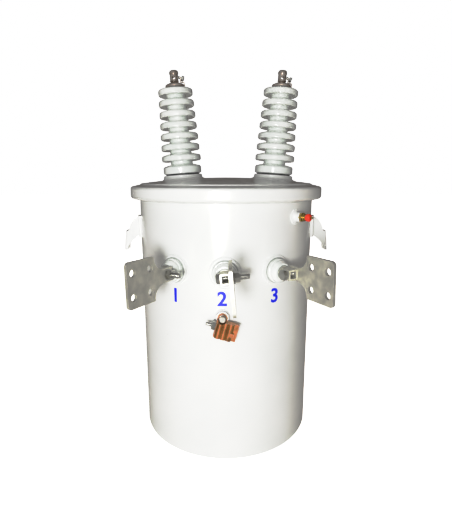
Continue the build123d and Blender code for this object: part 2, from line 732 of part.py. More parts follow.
# Lifting lugs: steel plate bent like a Z, with an arch below that a sling hooks under
lug_top = rim_level - lug_drop
lug_shoulder = lug_top - lug_shoulder_drop
lug_arch = lug_top - lug_arch_drop
lug_tip = lug_top - lug_tip_drop
lug_edge = tank_radius + lug_reach
lug_foot_edge = lug_edge + lug_splay
web_start = tank_radius - lug_plate
for name, side in hv_sides.items():
    with BuildPart() as lifting_lug:
        with BuildSketch(Plane.XZ.offset(-lug_web_y - lug_plate / 2)):
            with BuildLine():
                crest = ThreePointArc(
                    (web_start, lug_top),
                    (tank_radius + lug_reach * 0.45, lug_top - lug_shoulder_drop * 0.32),
                    (lug_edge - lug_shoulder_inset, lug_shoulder + lug_shoulder_inset / 2),
                )
                outer = Polyline(
                    crest @ 1,
                    (lug_edge - lug_plate, lug_shoulder),
                    (lug_edge, lug_shoulder),
                    (lug_foot_edge, lug_tip),
                    (lug_foot_edge - lug_plate, lug_tip),
                )
                arch = ThreePointArc(
                    outer @ 1,
                    (tank_radius + lug_reach * 0.62, lug_arch - (lug_arch - lug_tip) * 0.4),
                    (tank_radius + lug_reach * 0.1, lug_arch),
                )
                Polyline(arch @ 1, (web_start, lug_arch), (web_start, lug_top))
            make_face()
        extrude(amount=lug_plate)
        with BuildSketch(Plane.XZ.offset(-lug_web_y - lug_plate / 2)):
            with BuildLine():
                Polyline(
                    (lug_edge - lug_plate, lug_shoulder),
                    (lug_edge, lug_shoulder),
                    (lug_foot_edge, lug_tip),
                    (lug_foot_edge - lug_plate, lug_tip),
                    close=True,
                )
            make_face()
        extrude(amount=-lug_outer_flange)
        with BuildSketch(Plane.XY.offset(lug_arch)):
            with Locations((tank_radius, lug_web_y - lug_inner_flange / 2)):
                Rectangle(4 * lug_plate, lug_inner_flange + lug_plate)
            Circle(tank_radius + lug_plate, mode=Mode.INTERSECT)
        extrude(amount=lug_top - lug_arch)
        with BuildSketch(Plane.XY.offset(lug_tip)):
            Circle(tank_radius)
        extrude(amount=lug_top - lug_tip, mode=Mode.SUBTRACT)
        bend = (lug_edge + lug_splay / 2, lug_web_y - lug_plate / 2, (lug_shoulder + lug_tip) / 2)
        fillet(lifting_lug.edges().sort_by_distance(bend)[0], lug_bend_radius)
        if side < 0:
            mirror(about=Plane.YZ, mode=Mode.REPLACE)
    lifting_lug.part.label = f"lifting_lug_{name}"
    export_step(lifting_lug.part, f"parts/lifting_lug_{name}.step")

# Hanger brackets: bent channels welded to the wall, with slots open below for the pole bolts
hanger_upper_level = rim_level - hanger_drop
hanger_levels = {"upper": hanger_upper_level, "lower": hanger_upper_level - hanger_spacing}
hanger_face = tank_radius + hanger_standoff
hanger_root = sqrt(tank_radius**2 - (hanger_width / 2) ** 2) - hanger_plate
for name, level in hanger_levels.items():
    foot = level - hanger_height / 2
    with BuildPart() as hanger:
        with BuildSketch(Plane.XY.offset(foot)):
            with Locations((0, (hanger_root + hanger_face) / 2)):
                Rectangle(hanger_width, hanger_face - hanger_root)
        extrude(amount=hanger_height)
        fillet(hanger.edges().filter_by(Axis.Z).group_by(Axis.Y)[-1], hanger_bend_radius)
        with BuildSketch(Plane.XY.offset(foot)):
            with Locations((0, hanger_face - hanger_plate - hanger_standoff)):
                Rectangle(hanger_width - 2 * hanger_plate, 2 * hanger_standoff)
        extrude(amount=hanger_height, mode=Mode.SUBTRACT)
        with BuildSketch(Plane.XY.offset(foot)):
            Circle(tank_radius)
        extrude(amount=hanger_height, mode=Mode.SUBTRACT)
        with BuildSketch(Plane.XZ.offset(-hanger_face)):
            with Locations((0, foot)):
                SlotCenterToCenter(2 * (hanger_slot_depth - hanger_slot_width / 2), hanger_slot_width, rotation=90)
        extrude(amount=hanger_plate * 2, mode=Mode.SUBTRACT)
        mouth = hanger.edges().filter_by(Axis.Y).group_by(Axis.Z)[0].sort_by(lambda edge: abs(edge.center().X))
        chamfer(mouth[0:2], hanger_foot_chamfer / 2)
    hanger.part.label = f"hanger_{name}"
    export_step(hanger.part, f"parts/hanger_{name}.step")

# Pressure relief valve: white welded boss, brass body with a hexagon, red cap and pull pin
valve_level = rim_level - valve_drop
valve_base = wall_plane(valve_azimuth, valve_level)
with BuildPart() as valve_boss:
    with BuildSketch(profile_plane(valve_base)):
        with BuildLine():
            FilletPolyline(
                (0, -valve_boss_flare),
                (valve_boss_foot, -valve_boss_flare),
                (valve_boss_foot, 1),
                (valve_boss_radius, valve_boss_flare),
                (valve_boss_radius, valve_boss_height),
                (0, valve_boss_height),
                radius=(0, 1, 3, 1),
            )
            Line((0, valve_boss_height), (0, -valve_boss_flare))
        make_face()
    revolve(axis=turn_axis(valve_base))
    with BuildSketch(Plane.XY.offset(valve_level - 2 * valve_boss_foot)):
        Circle(tank_radius)
    extrude(amount=4 * valve_boss_foot, mode=Mode.SUBTRACT)
valve_boss.part.label = "relief_valve_boss"
export_step(valve_boss.part, "parts/relief_valve_boss.step")

hex_top = valve_boss_height + valve_hex_height
cap_start = hex_top + valve_neck_height
with BuildPart() as valve_body:
    with BuildSketch(valve_base.offset(valve_boss_height)):
        RegularPolygon(across_flats(valve_hex_flats), 6)
    extrude(amount=valve_hex_height)
    with BuildSketch(valve_base.offset(hex_top)):
        Circle(valve_neck_radius)
    extrude(amount=valve_neck_height)
    with BuildSketch(valve_base.offset(hex_top + valve_collar_height)):
        Circle(valve_collar_radius)
    extrude(amount=valve_collar_height)
valve_body.part.label = "relief_valve_body"
export_step(valve_body.part, "parts/relief_valve_body.step")

with BuildPart() as valve_cap:
    with BuildSketch(valve_base.offset(cap_start)):
        Circle(valve_cap_radius)
    extrude(amount=valve_cap_height)
    chamfer(valve_cap.edges().filter_by(GeomType.CIRCLE), valve_cap_bevel)
    with BuildSketch(valve_base.offset(cap_start)):
        Circle(valve_pin_radius)
    extrude(amount=valve_cap_height, mode=Mode.SUBTRACT)
valve_cap.part.label = "relief_valve_cap"
export_step(valve_cap.part, "parts/relief_valve_cap.step")

with BuildPart() as valve_pin:
    with BuildSketch(valve_base.offset(cap_start)):
        Circle(valve_pin_radius)
    extrude(amount=valve_cap_height + valve_pin_height)
valve_pin.part.label = "relief_valve_pin"
export_step(valve_pin.part, "parts/relief_valve_pin.step")

# Earthing pad: round boss welded to the wall, tapped for the connector's screw
earth_base = wall_plane(0, lv_level - earth_drop + lv_drop, earth_roll)
screw_place = earth_base.origin + earth_base.x_dir * earth_pad_side + earth_base.y_dir * earth_pad_rise
screw_plane = Plane(origin=screw_place, x_dir=earth_base.x_dir, z_dir=earth_base.z_dir)
with BuildPart() as earth_pad:
    with BuildSketch(screw_plane.offset(-wall_thickness)):
        Circle(earth_pad_radius)
    extrude(amount=earth_pad_height + wall_thickness)
    with BuildSketch(Plane.XY.offset(screw_place.Z - 2 * earth_pad_radius)):
        Circle(tank_radius)
    extrude(amount=4 * earth_pad_radius, mode=Mode.SUBTRACT)
earth_pad.part.label = "earth_pad"
export_step(earth_pad.part, "parts/earth_pad.step")

# Earth connector: formed copper clamp with three flutes, a pin and a tang screwed to the pad
end_place = earth_base.origin + earth_base.z_dir * earth_pad_height + earth_base.y_dir * earth_length / 2
end_plane = Plane(origin=end_place, x_dir=earth_base.x_dir, z_dir=-earth_base.y_dir)
body_top = earth_plate + earth_body
with BuildPart() as earth_connector:
    with BuildSketch(end_plane):
        with Locations((0, body_top / 2)):
            Rectangle(earth_width, body_top)
        for index in range(earth_flute_count):
            with Locations((-earth_width / 2 + earth_flute_radius * 1.3 + index * earth_flute_pitch, body_top)):
                Circle(earth_flute_radius)
    extrude(amount=earth_length)
    with BuildSketch(screw_plane.offset(earth_pad_height)):
        Circle(earth_washer_radius + bolt_clearance)
    extrude(amount=2 * body_top, mode=Mode.SUBTRACT)
    with BuildSketch(screw_plane.offset(earth_pad_height)):
        Circle(earth_tang_width / 2)
        with Locations((0, -earth_tang_width / 2)):
            Rectangle(earth_tang_width, earth_tang_width)
    extrude(amount=earth_plate)
    with BuildSketch(earth_base.offset(earth_pad_height)):
        with Locations((earth_pin_side, -earth_pin_drop)):
            Circle(earth_pin_radius)
    extrude(amount=body_top + earth_flute_radius)
    bolt_row = earth_base.offset(earth_pad_height + body_top / 2)
    bolt_start = bolt_row.origin - earth_base.x_dir * earth_width + earth_base.y_dir * earth_bolt_rise
    bolt_line = Plane(origin=bolt_start, x_dir=earth_base.y_dir, z_dir=earth_base.x_dir)
    with BuildSketch(bolt_line):
        Circle(earth_bolt_radius)
    extrude(amount=earth_width, mode=Mode.SUBTRACT)
earth_connector.part.label = "earth_connector"
export_step(earth_connector.part, "parts/earth_connector.step")

# Earth bolts: the clamp's cross bolt with its nut, and the screw that holds the tang to the pad
with BuildPart() as earth_bolts:
    with BuildSketch(bolt_line.offset(earth_width / 2 - earth_bolt_tail)):
        Circle(earth_bolt_radius)
    extrude(amount=earth_bolt_tail + earth_width / 2)
    with BuildSketch(bolt_line.offset(earth_width / 2)):
        RegularPolygon(across_flats(earth_nut_flats), 6)
    extrude(amount=-earth_nut_height)
    with BuildSketch(screw_plane.offset(earth_pad_height + earth_plate)):
        Circle(earth_washer_radius)
    extrude(amount=earth_washer_thickness)
    with BuildSketch(screw_plane.offset(earth_pad_height + earth_plate + earth_washer_thickness)):
        RegularPolygon(across_flats(earth_screw_flats), 6)
    extrude(amount=earth_screw_head)
earth_bolts.part.label = "earth_bolts"
export_step(earth_bolts.part, "parts/earth_bolts.step")
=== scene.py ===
import bmesh
import bpy
import json
from math import cos, pi, radians, sin, tan
from mathutils import Matrix, Vector


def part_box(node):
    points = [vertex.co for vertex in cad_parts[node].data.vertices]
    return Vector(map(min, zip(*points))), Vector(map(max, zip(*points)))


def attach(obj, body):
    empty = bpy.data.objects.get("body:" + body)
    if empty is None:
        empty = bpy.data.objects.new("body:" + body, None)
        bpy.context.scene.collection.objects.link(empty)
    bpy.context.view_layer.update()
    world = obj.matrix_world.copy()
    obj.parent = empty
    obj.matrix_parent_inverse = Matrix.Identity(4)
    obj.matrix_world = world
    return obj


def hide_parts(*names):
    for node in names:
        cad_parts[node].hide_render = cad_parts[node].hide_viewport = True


# Single-phase pole mounted transformer, standing on a pale floor.
# Metres; the origin is the centre of the tank's underside, -Y is the terminal side, +Y the pole side.

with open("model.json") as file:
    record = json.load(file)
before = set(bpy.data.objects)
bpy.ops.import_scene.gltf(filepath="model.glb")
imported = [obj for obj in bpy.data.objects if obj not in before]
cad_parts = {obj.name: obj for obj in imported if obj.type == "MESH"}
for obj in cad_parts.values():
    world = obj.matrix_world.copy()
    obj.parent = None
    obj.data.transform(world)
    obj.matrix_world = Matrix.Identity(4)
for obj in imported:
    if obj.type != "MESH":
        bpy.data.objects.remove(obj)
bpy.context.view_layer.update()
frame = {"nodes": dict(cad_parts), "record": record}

# Viewpoint of the photograph: level with the lid, a metre away, tipped a little downward.
camera_distance = 0.967
camera_height = 0.6094
camera_tilt = radians(11.17)
camera_lens = 27.28
camera = bpy.data.objects.new("camera", bpy.data.cameras.new("camera"))
camera.data.lens = camera_lens
camera.location = (0, -camera_distance, camera_height)
camera.rotation_euler = (radians(90) - camera_tilt, 0, 0)
bpy.context.scene.collection.objects.link(camera)
bpy.context.scene.camera = camera


def linear(code):
    """Linear colour of an sRGB hex code."""
    values = [int(code[i : i + 2], 16) / 255 for i in (0, 2, 4)]
    return [v / 12.92 if v <= 0.04045 else ((v + 0.055) / 1.055) ** 2.4 for v in values] + [1]


def node(tree, kind, settings=None, links=None):
    """Adds a node, sets its properties, and fills its inputs with values or other nodes' outputs."""
    made = tree.nodes.new(kind)
    for name, value in (settings or {}).items():
        setattr(made, name, value)
    for name, value in (links or {}).items():
        if isinstance(value, bpy.types.NodeSocket):
            tree.links.new(value, made.inputs[name])
        else:
            made.inputs[name].default_value = value
    return made


def material(name):
    """An empty node material: itself, its tree, its Principled shader and its object coordinates."""
    made = bpy.data.materials.new(name)
    made.use_nodes = True
    tree = made.node_tree
    shader = tree.nodes["Principled BSDF"]
    place = tree.nodes.new("ShaderNodeTexCoord").outputs["Object"]
    return made, tree, shader, place


# Surround: white to the eye. What lights the part is brighter in front on the left and low down,
# and falls to a dim brown behind and above, which the gloss paint shows as dark edges and a dark lid.
# The picture's tone curve was set to bring the tank's brightness near the photograph's.
view = bpy.context.scene.view_settings
view.view_transform = "Standard"
view.use_curve_mapping = True
tone_points = ((0.15, 0.13), (0.35, 0.28), (0.56, 0.66), (0.74, 0.85), (0.93, 0.955))
for seen_value, shown_value in tone_points:
    view.curve_mapping.curves[3].points.new(seen_value, shown_value)
view.curve_mapping.update()
bright_side = (-0.35, -0.85, -0.39)
bright_glow = 0.52
bright_from = 0.92
dim_glow = 0.09
dim_until = 0.32
world = bpy.data.worlds.new("studio")
world.use_nodes = True
tree = world.node_tree
direction = tree.nodes.new("ShaderNodeTexCoord").outputs["Generated"]
toward = node(tree, "ShaderNodeVectorMath", {"operation": "DOT_PRODUCT"}, {0: direction, 1: bright_side})
share = {"Value": toward.outputs["Value"], "From Min": -1.0, "From Max": 1.0}
facing = node(tree, "ShaderNodeMapRange", links=share)
blend = node(tree, "ShaderNodeValToRGB", links={"Fac": facing.outputs[0]})
blend.color_ramp.elements[0].position = dim_until
blend.color_ramp.elements[0].color = [channel * dim_glow for channel in linear("F2DDD4")]
blend.color_ramp.elements[1].position = bright_from
blend.color_ramp.elements[1].color = [channel * bright_glow for channel in linear("FFFFFF")]
seen = tree.nodes.new("ShaderNodeLightPath").outputs["Is Camera Ray"]
shown = {0: seen, 6: blend.outputs["Color"], 7: (1, 1, 1, 1)}
mixed = node(tree, "ShaderNodeMix", {"data_type": "RGBA"}, shown)
tree.links.new(mixed.outputs[2], tree.nodes["Background"].inputs["Color"])
bpy.context.scene.world = world

# Floor: one pale seamless sheet of matt paper, far wider than the picture. It glows white to the
# camera alone, for the photograph's plain white ground, so no shadow shows on it.
floor_half = 14.0
floor_gap = 0.0005
floor_glow = 1.0
floor_mesh = bpy.data.meshes.new("floor")
corners = [(x * floor_half, y * floor_half, -floor_gap) for x, y in ((-1, -1), (1, -1), (1, 1), (-1, 1))]
floor_mesh.from_pydata(corners, [], [(0, 1, 2, 3)])
floor = bpy.data.objects.new("floor", floor_mesh)
bpy.context.scene.collection.objects.link(floor)
paper, tree, shader, place = material("matt_backdrop_paper")
shader.inputs["Base Color"].default_value = linear("EEEBE4")
shader.inputs["Roughness"].default_value = 0.9
shader.inputs["Emission Color"].default_value = linear("FFFFFF")
seen = tree.nodes.new("ShaderNodeLightPath").outputs["Is Camera Ray"]
glow = node(tree, "ShaderNodeMath", {"operation": "MULTIPLY"}, {0: seen, 1: floor_glow})
tree.links.new(glow.outputs[0], shader.inputs["Emission Strength"])
floor_mesh.materials.append(paper)

# Lamps: a soft box behind the camera, a little to its left and below it, whose soft shadows fall to the
# right and upward, and a wide one behind the part that is kept out of the paint's reflections.
# Each has its place, what it points at, its width, its watts and whether gloss mirrors it.
soft_boxes = {
    "key_light": ((-0.24, -1.707, 0.48), (0, 0, 0.42), 0.40, 17.0, True),
    "back_light": ((0.0, 2.2, 0.62), (0, 0, 0.4), 1.3, 19.0, False),
}
for name, (location, aim, size, power, mirrored) in soft_boxes.items():
    data = bpy.data.lights.new(name, "AREA")
    data.size = size
    data.energy = power
    lamp = bpy.data.objects.new(name, data)
    lamp.location = location
    lamp.rotation_euler = (Vector(aim) - Vector(location)).to_track_quat("-Z", "Y").to_euler()
    lamp.visible_glossy = mirrored
    bpy.context.scene.collection.objects.link(lamp)


# Tank, rim, lid, band and brackets: rolled and pressed sheet steel, welded, sprayed with light grey
# gloss enamel and baked. The paint gives a bright, slightly rippled shine with a few dull marks.
peel_size = 0.0035
peel_depth = 0.0001
patch_size = 0.12
scuff_size = 0.03
speck_spacing = 0.034
speck_inside = 0.012
speck_outside = 0.03


def dress(made, *starts):
    """Gives the CAD nodes whose names start so a material, through their own slots."""
    for name, solid in frame["nodes"].items():
        if name.startswith(starts):
            for slot in solid.material_slots:
                slot.material = made


enamel, tree, shader, place = material("gloss_enamel_on_steel")
patches = node(tree, "ShaderNodeTexNoise", links={"Vector": place, "Scale": 1 / patch_size, "Detail": 4.0})
tint = node(tree, "ShaderNodeValToRGB", links={"Fac": patches.outputs["Fac"]})
tint.color_ramp.elements[0].position = 0.3
tint.color_ramp.elements[0].color = linear("E6E8E6")
tint.color_ramp.elements[1].position = 0.7
tint.color_ramp.elements[1].color = linear("EDEEEC")
specks = node(tree, "ShaderNodeTexVoronoi", links={"Vector": place, "Scale": 1 / speck_spacing})
speck_edge = {"Value": specks.outputs["Distance"], "From Min": speck_inside, "From Max": speck_outside}
speck = node(tree, "ShaderNodeMapRange", links=speck_edge)
soil = {0: speck.outputs["Result"], 6: linear("A9A69E")}
soiled = node(tree, "ShaderNodeMix", {"data_type": "RGBA"}, soil)
tree.links.new(tint.outputs["Color"], soiled.inputs[7])
tree.links.new(soiled.outputs[2], shader.inputs["Base Color"])
scuff_grain = {"Vector": place, "Scale": 1 / scuff_size, "Detail": 6.0, "Roughness": 0.7}
scuffs = node(tree, "ShaderNodeTexNoise", links=scuff_grain)
dull = {"Value": scuffs.outputs["Fac"], "From Min": 0.4, "From Max": 0.75, "To Min": 0.13, "To Max": 0.3}
tree.links.new(node(tree, "ShaderNodeMapRange", links=dull).outputs["Result"], shader.inputs["Roughness"])
peel = node(tree, "ShaderNodeTexNoise", links={"Vector": place, "Scale": 1 / peel_size, "Detail": 2.0})
wave = node(tree, "ShaderNodeTexNoise", links={"Vector": place, "Scale": 1 / patch_size, "Detail": 1.0})
ripple = node(tree, "ShaderNodeMath", {"operation": "MULTIPLY_ADD"}, {0: wave.outputs["Fac"], 1: 2.0})
tree.links.new(peel.outputs["Fac"], ripple.inputs[2])
skin = {"Strength": 0.12, "Distance": peel_depth, "Height": ripple.outputs[0]}
tree.links.new(node(tree, "ShaderNodeBump", links=skin).outputs["Normal"], shader.inputs["Normal"])
dress(enamel, "tank", "lid", "clamp_band", "lifting", "hanger", "relief_valve_boss", "earth_pad")


# Weld beads: each bracket, boss and pad is run round with an arc weld and painted over with the tank.
# The electrode leaves a row of overlapping scales, laid here by Geometry Nodes along each seam.
scale_pitch = 0.0022
bead_radius = 0.0021
smallest_scale = 0.85
largest_scale = 1.15
scale_seed = 4
tank_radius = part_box("tank_wall")[1][0]
tank_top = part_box("tank_wall")[1][2]


def piece(name, bm, made, slot, *replaced):
    """Turns a bmesh into a finished piece that rides on the part, with its material. The slot argument is
    not used.
    """
    mesh = bpy.data.meshes.new(name)
    bm.to_mesh(mesh)
    bm.free()
    made_object = bpy.data.objects.new(name, mesh)
    bpy.context.scene.collection.objects.link(made_object)
    mesh.materials.append(made)
    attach(made_object, "root")
    if replaced:
        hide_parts(*replaced)


def input_socket(tree, name, kind, value):
    """Adds a named input to a Geometry Nodes tree and gives the identifier that a modifier sets it by."""
    made = tree.interface.new_socket(name, in_out="INPUT", socket_type=kind)
    if value is not None:
        made.default_value = value
    return made.identifier


bead_tree = bpy.data.node_groups.new("weld_bead", "GeometryNodeTree")
input_socket(bead_tree, "Seam", "NodeSocketGeometry", None)
bead_pitch_id = input_socket(bead_tree, "Scale Pitch", "NodeSocketFloat", scale_pitch)
bead_radius_id = input_socket(bead_tree, "Bead Radius", "NodeSocketFloat", bead_radius)
bead_tree.interface.new_socket("Geometry", in_out="OUTPUT", socket_type="NodeSocketGeometry")
given = bead_tree.nodes.new("NodeGroupInput")
seam_curve = node(bead_tree, "GeometryNodeMeshToCurve", links={"Mesh": given.outputs["Seam"]})
steps = node(bead_tree, "GeometryNodeResampleCurve", {"mode": "LENGTH"}, {
    "Curve": seam_curve.outputs["Curve"], "Length": given.outputs["Scale Pitch"],
})
drop = node(bead_tree, "GeometryNodeMeshUVSphere", links={
    "Segments": 10, "Rings": 6, "Radius": given.outputs["Bead Radius"],
})
jitter = node(bead_tree, "FunctionNodeRandomValue", {"data_type": "FLOAT"}, {
    2: smallest_scale, 3: largest_scale, "Seed": scale_seed,
})
drops = node(bead_tree, "GeometryNodeInstanceOnPoints", links={
    "Points": steps.outputs["Curve"], "Instance": drop.outputs["Mesh"], "Scale": jitter.outputs[1],
})
solid = node(bead_tree, "GeometryNodeRealizeInstances", links={"Geometry": drops.outputs["Instances"]})
painted = node(bead_tree, "GeometryNodeSetMaterial", links={
    "Geometry": solid.outputs[0], "Material": enamel,
})
shaded = node(bead_tree, "GeometryNodeSetShadeSmooth", links={"Geometry": painted.outputs[0]})
result = bead_tree.nodes.new("NodeGroupOutput")
bead_tree.links.new(shaded.outputs[0], result.inputs[0])


def plain_mesh(name, points, tree_used, settings):
    """Runs a Geometry Nodes tree on a line of points and gives back the plain mesh it makes."""
    line = bpy.data.meshes.new(name)
    line.from_pydata(points, [(i, i + 1) for i in range(len(points) - 1)], [])
    carrier = bpy.data.objects.new(name, line)
    bpy.context.scene.collection.objects.link(carrier)
    modifier = carrier.modifiers.new("tree", "NODES")
    modifier.node_group = tree_used
    for identifier, value in settings.items():
        modifier[identifier] = value
    seen_now = carrier.evaluated_get(bpy.context.evaluated_depsgraph_get())
    mesh = bpy.data.meshes.new_from_object(seen_now)
    bpy.data.objects.remove(carrier)
    return mesh


def on_wall(azimuth, level, lift=0.0):
    """Point on the tank's wall at an angle from the front, in degrees, and a height."""
    radius = tank_radius + lift
    return Vector((radius * sin(radians(azimuth)), -radius * cos(radians(azimuth)), level))


def wall_line(azimuth, low, high):
    """A seam straight up the wall, from one height to another."""
    return [on_wall(azimuth, low), on_wall(azimuth, high)]


def wall_ring(azimuth, level, radius, sides=48):
    """A closed ring laid on the wall round a boss."""
    turns = [2 * pi * i / sides for i in range(sides + 1)]
    spread = 180 / pi / tank_radius
    return [on_wall(azimuth + radius * cos(t) * spread, level + radius * sin(t)) for t in turns]


def weld(name, *seams):
    """One piece of weld beads along several seams."""
    bm = bmesh.new()
    for seam in seams:
        mesh = plain_mesh(name, seam, bead_tree, {bead_pitch_id: scale_pitch, bead_radius_id: bead_radius})
        bm.from_mesh(mesh)
        bpy.data.meshes.remove(mesh)
    for face in bm.faces:
        face.smooth = True
    piece(name, bm, enamel, "tank_enamel")


lv_azimuths = {"left": -31.0, "centre": -0.5, "right": 30.0}
lv_level = (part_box("lv_bushing_centre")[0][2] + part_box("lv_bushing_centre")[1][2]) / 2
boss_radius = 0.0312
weld("lv_boss_welds", *[wall_ring(azimuth, lv_level, boss_radius) for azimuth in lv_azimuths.values()])

pad_low, pad_high = [Vector(corner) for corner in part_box("earth_pad")]
pad_middle = (pad_low + pad_high) / 2
pad_azimuth = pad_middle.x / tank_radius * 180 / pi
valve_low, valve_high = [Vector(corner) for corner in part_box("relief_valve_boss")]
valve_level = (valve_low.z + valve_high.z) / 2
valve_azimuth = 45.0
valve_foot = 0.0147
pad_seam_gap = 0.0004
weld(
    "small_boss_welds",
    wall_ring(pad_azimuth, pad_middle.z, (pad_high.x - pad_low.x) / 2 + pad_seam_gap),
    wall_ring(valve_azimuth, valve_level, valve_foot),
)

bracket_seams = []
bracket_seam_degrees = 0.2
for name in ("hanger_upper", "hanger_lower"):
    low, high = [Vector(corner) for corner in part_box(name)]
    reach = high.x / tank_radius * 180 / pi + bracket_seam_degrees
    bracket_seams += [wall_line(180 - reach, low.z, high.z), wall_line(180 + reach, low.z, high.z)]
weld("hanger_welds", *bracket_seams)

lug_seams = []
lug_flange_back = 0.0653
lug_seam_gap = 0.001
lug_seam_length = 0.047
for name, side in (("lifting_lug_left", -1), ("lifting_lug_right", 1)):
    low, high = [Vector(corner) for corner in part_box(name)]
    back = 90 - lug_flange_back / tank_radius * 180 / pi
    top = high.z - lug_seam_gap
    lug_seams.append(wall_line(side * back, top - lug_seam_length, top))
weld("lug_welds", *lug_seams)

seam_azimuth = 148.0
seam_gap = 0.004
weld("tank_seam", wall_line(seam_azimuth, seam_gap, tank_top - seam_gap))


# Lid seats: the sheet is pressed up into two round necks that flow out of the lid in a curved foot.
hv_lean = 4.1
seat_radius = 0.046
seat_level = 0.620
spacing_middle = 0.005
spacing_half = 0.110
sag = 0.0102
dome_sheet = 0.0025
foot_curve = 0.006
foot_steps = 6
foot_apron = 0.004
foot_inset = 0.001
foot_skin = 0.0001
foot_lift = 0.0002


def turned(profile, sides, origin, axis, side_way):
    """A closed solid of revolution from (radius, height) points, its axis along a direction."""
    bm = bmesh.new()
    up = Vector(axis).normalized()
    right = Vector(side_way)
    right = (right - up * right.dot(up)).normalized()
    ahead = up.cross(right)
    rings = []
    for radius, height in profile:
        ring = []
        for i in range(sides):
            turn = 2 * pi * i / sides
            reach = right * cos(turn) + ahead * sin(turn)
            ring.append(bm.verts.new(Vector(origin) + up * height + reach * radius))
        rings.append(ring)
    for lower, upper in zip(rings, rings[1:] + rings[:1]):
        for i in range(sides):
            j = (i + 1) % sides
            bm.faces.new((lower[i], lower[j], upper[j], upper[i]))
    bmesh.ops.remove_doubles(bm, verts=bm.verts, dist=1e-7)
    bmesh.ops.recalc_face_normals(bm, faces=bm.faces)
    for face in bm.faces:
        face.smooth = True
    return bm


hv_places = {}
for name, side in (("left", -1), ("right", 1)):
    way = Vector((side * sin(radians(hv_lean)), 0, cos(radians(hv_lean))))
    hv_places[name] = (way, side)
for name, (way, side) in hv_places.items():
    seat = Vector((spacing_middle + side * spacing_half, 0, seat_level))
    foot = [(seat_radius - foot_inset, -sag - dome_sheet / 2)]
    foot += [(seat_radius + foot_curve + foot_apron, -sag - dome_sheet / 2)]
    for i in range(foot_steps + 1):
        turn = radians(90 * i / foot_steps)
        reach = foot_curve * (1 - sin(turn))
        rise = -sag + foot_curve * (1 - cos(turn)) + foot_lift
        foot.append((seat_radius + reach + foot_skin, rise))
    foot.append((seat_radius - foot_inset, -sag + foot_curve + foot_lift))
    neck = turned(foot, 96, seat, way, (1, 0, 0))
    piece(f"lid_seat_foot_{name}", neck, enamel, "band_enamel")

# High- and low-voltage bushings: wet-process porcelain, turned on a lathe, glazed pale grey and fired.
# The glaze gives a deep, wet shine over a faintly cloudy, greenish grey body.
cloud_size = 0.025
glaze_patch = 0.008
turning_mark = 0.006
turning_depth = 0.0002
porcelain, tree, shader, place = material("glazed_porcelain")
cloud = node(tree, "ShaderNodeTexNoise", links={"Vector": place, "Scale": 1 / cloud_size, "Detail": 3.0})
tint = node(tree, "ShaderNodeValToRGB", links={"Fac": cloud.outputs["Fac"]})
tint.color_ramp.elements[0].position = 0.3
tint.color_ramp.elements[0].color = linear("DFE4E0")
tint.color_ramp.elements[1].position = 0.7
tint.color_ramp.elements[1].color = linear("EFF1EE")
tree.links.new(tint.outputs["Color"], shader.inputs["Base Color"])
fine = node(tree, "ShaderNodeTexNoise", links={"Vector": place, "Scale": 1 / glaze_patch, "Detail": 3.0})
glaze = {"Value": fine.outputs["Fac"], "To Min": 0.1, "To Max": 0.24}
tree.links.new(node(tree, "ShaderNodeMapRange", links=glaze).outputs["Result"], shader.inputs["Roughness"])
shader.inputs["Coat Weight"].default_value = 1.0
shader.inputs["Coat Roughness"].default_value = 0.04
marks = {"Vector": place, "Scale": 1 / turning_mark, "Detail": 1.0}
turning = node(tree, "ShaderNodeTexNoise", links=marks)
skin = {"Strength": 0.15, "Distance": turning_depth, "Height": turning.outputs["Fac"]}
tree.links.new(node(tree, "ShaderNodeBump", links=skin).outputs["Normal"], shader.inputs["Normal"])
dress(porcelain, "hv_bushing", "lv_bushing")

# Gaskets of the lid and the high-voltage bushings: rings cut from nitrile rubber sheet, matt black
# with a little bloom.
bloom_size = 0.006
rubber, tree, shader, place = material("nitrile_rubber")
bloom = node(tree, "ShaderNodeTexNoise", links={"Vector": place, "Scale": 1 / bloom_size, "Detail": 5.0})
tint = node(tree, "ShaderNodeValToRGB", links={"Fac": bloom.outputs["Fac"]})
tint.color_ramp.elements[0].color = linear("101010")
tint.color_ramp.elements[1].color = linear("2A2928")
tree.links.new(tint.outputs["Color"], shader.inputs["Base Color"])
matt = {"Value": bloom.outputs["Fac"], "To Min": 0.55, "To Max": 0.8}
tree.links.new(node(tree, "ShaderNodeMapRange", links=matt).outputs["Result"], shader.inputs["Roughness"])
grain = {"Strength": 0.3, "Distance": 0.0001, "Height": bloom.outputs["Fac"]}
tree.links.new(node(tree, "ShaderNodeBump", links=grain).outputs["Normal"], shader.inputs["Normal"])
dress(rubber, "lid_gasket", "hv_gaskets")

# Wall gaskets of the low-voltage bushings: the same kind of ring, taken for pale grey silicone rubber
# because no dark line shows there.
silicone, tree, shader, place = material("grey_silicone_rubber")
bloom = node(tree, "ShaderNodeTexNoise", links={"Vector": place, "Scale": 1 / bloom_size, "Detail": 5.0})
tint = node(tree, "ShaderNodeValToRGB", links={"Fac": bloom.outputs["Fac"]})
tint.color_ramp.elements[0].color = linear("A5A9A6")
tint.color_ramp.elements[1].color = linear("BFC2BF")
tree.links.new(tint.outputs["Color"], shader.inputs["Base Color"])
matt = {"Value": bloom.outputs["Fac"], "To Min": 0.5, "To Max": 0.75}
tree.links.new(node(tree, "ShaderNodeMapRange", links=matt).outputs["Result"], shader.inputs["Roughness"])
dress(silicone, "lv_gaskets")


# Terminals: spades, hubs and studs taken for hot-tinned copper, and cast caps, stems and clips taken for
# tinned bronze, from their colour. The tin is dull and cloudy, with fine scratches, and its edges are
# painted bright: partly rubbed wear, partly painted highlight.
# Sheen is the metallic value. Where it is below 1, it was set for the photograph's dull look.
tarnish_size = 0.02
# Width of the edges painted bright: partly rubbed wear, partly painted highlight.
wear_and_highlight_edge_width = 0.0009
ridge_share = 0.4
nut_bore_share = 0.9


